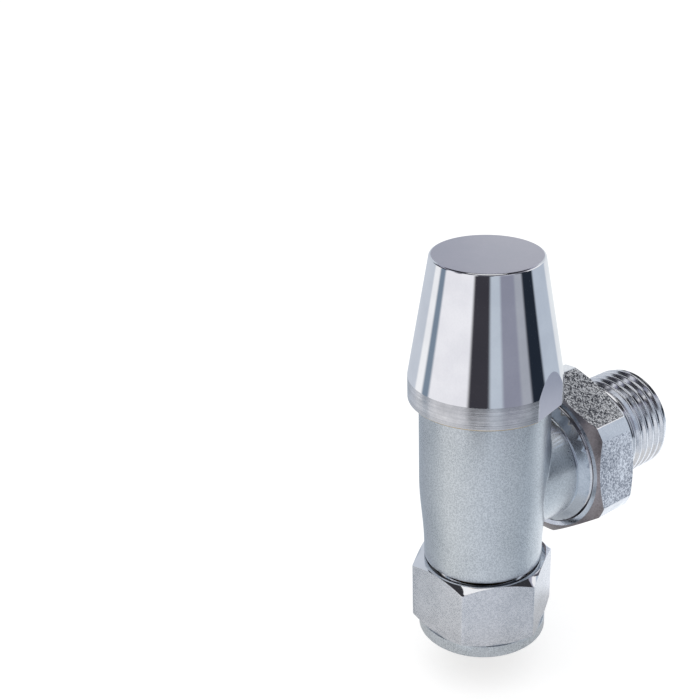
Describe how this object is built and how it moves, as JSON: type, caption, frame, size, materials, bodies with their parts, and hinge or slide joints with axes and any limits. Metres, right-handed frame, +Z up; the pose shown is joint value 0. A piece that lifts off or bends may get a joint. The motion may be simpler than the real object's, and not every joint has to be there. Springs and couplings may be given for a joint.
{
  "type": "lockshield valve",
  "caption": "Angled lockshield radiator valve: compression inlet below, union nut and threaded tail to the side, and a tapered screw-on cover over the spindle.",
  "frame": {"origin": "on the inlet pipe's axis, in the plane of the foot of the compression nut", "axes": "+Z up the barrel to the cover, +X out along the radiator tail"},
  "size_m": [0.0577, 0.0312, 0.0779],
  "materials": {
    "polished_chrome": "mirror polished plating",
    "satin_chrome": "fine blasted satin plating",
    "nut_plating": "coarse cast plating with smooth turned corners",
    "inlet_plating": "satin plated flats with bright chamfers",
    "tail_plating": "fine grained plating with bright thread crests",
    "turned_brass": "turned",
    "black_rubber": "moulded",
    "white_packing": "matte",
    "spring_steel": "oiled spring steel"
  },
  "bodies": {
    "body": {"valve_body": "satin_chrome", "bonnet": "turned_brass", "bonnet_o_ring": "black_rubber", "gland_nut": "turned_brass", "gland_packing": "white_packing", "packing_follower": "turned_brass", "thrust_washer": "white_packing"},
    "cover_ring": {"cover_seat_ring": "turned_brass"},
    "cover_seal": {"cover_o_ring": "black_rubber"},
    "cover": {"lockshield_cover": "polished_chrome"},
    "spindle": {"spindle": "turned_brass", "spindle_o_rings": "black_rubber", "spindle_circlip": "spring_steel"},
    "plug": {"valve_plug": "turned_brass", "seat_washer": "black_rubber", "washer_screw": "turned_brass"},
    "tail_seal": {"tail_o_ring": "black_rubber"},
    "tail": {"tail_pipe": "tail_plating"},
    "union_nut": {"union_nut": "nut_plating"},
    "olive": {"compression_olive": "turned_brass"},
    "compression_nut": {"compression_nut": "inlet_plating"}
  },
  "joints": [
    {"name": "cover_lift", "type": "slide", "parent": "body", "child": "cover_ring", "axis": [0, 0, 1], "range_m": [0, 0.03]},
    {"name": "cover_rise", "type": "slide", "parent": "cover_ring", "child": "cover_seal", "axis": [0, 0, 1], "range_m": [0, 0.005]},
    {"name": "cover_turn", "type": "hinge", "parent": "cover_seal", "child": "cover", "pos_m": [0, 0, 0.05], "axis": [0, 0, 1], "range_deg": [0, 1188]},
    {"name": "spindle_turn", "type": "hinge", "parent": "body", "child": "spindle", "pos_m": [0, 0, 0.06], "axis": [0, 0, 1], "range_deg": [0, 1267.2]},
    {"name": "plug_lift", "type": "slide", "parent": "body", "child": "plug", "axis": [0, 0, 1], "range_m": [0, 0.0044]},
    {"name": "tail_draw", "type": "slide", "parent": "body", "child": "tail_seal", "axis": [1, 0, 0], "range_m": [0, 0.0055]},
    {"name": "tail_swivel", "type": "hinge", "parent": "tail_seal", "child": "tail", "pos_m": [0.03, 0, 0.03125], "axis": [1, 0, 0], "continuous": true},
    {"name": "union_nut_turn", "type": "hinge", "parent": "tail_seal", "child": "union_nut", "pos_m": [0.021, 0, 0.03125], "axis": [1, 0, 0], "range_deg": [0, 1080]},
    {"name": "olive_drop", "type": "slide", "parent": "body", "child": "olive", "axis": [0, 0, -1], "range_m": [0, 0.0091]},
    {"name": "compression_nut_turn", "type": "hinge", "parent": "olive", "child": "compression_nut", "pos_m": [0, 0, 0.008], "axis": [0, 0, -1], "range_deg": [0, 1800]}
  ],
  "couplings": [
    {"joint": "cover_rise", "follows": "cover_turn", "m_per_rad": 0.00023873},
    {"joint": "spindle_turn", "follows": "plug_lift", "rad_per_m": 5026.5},
    {"joint": "tail_draw", "follows": "union_nut_turn", "m_per_rad": 0.00028871},
    {"joint": "olive_drop", "follows": "compression_nut_turn", "m_per_rad": 0.00028871}
  ]
}
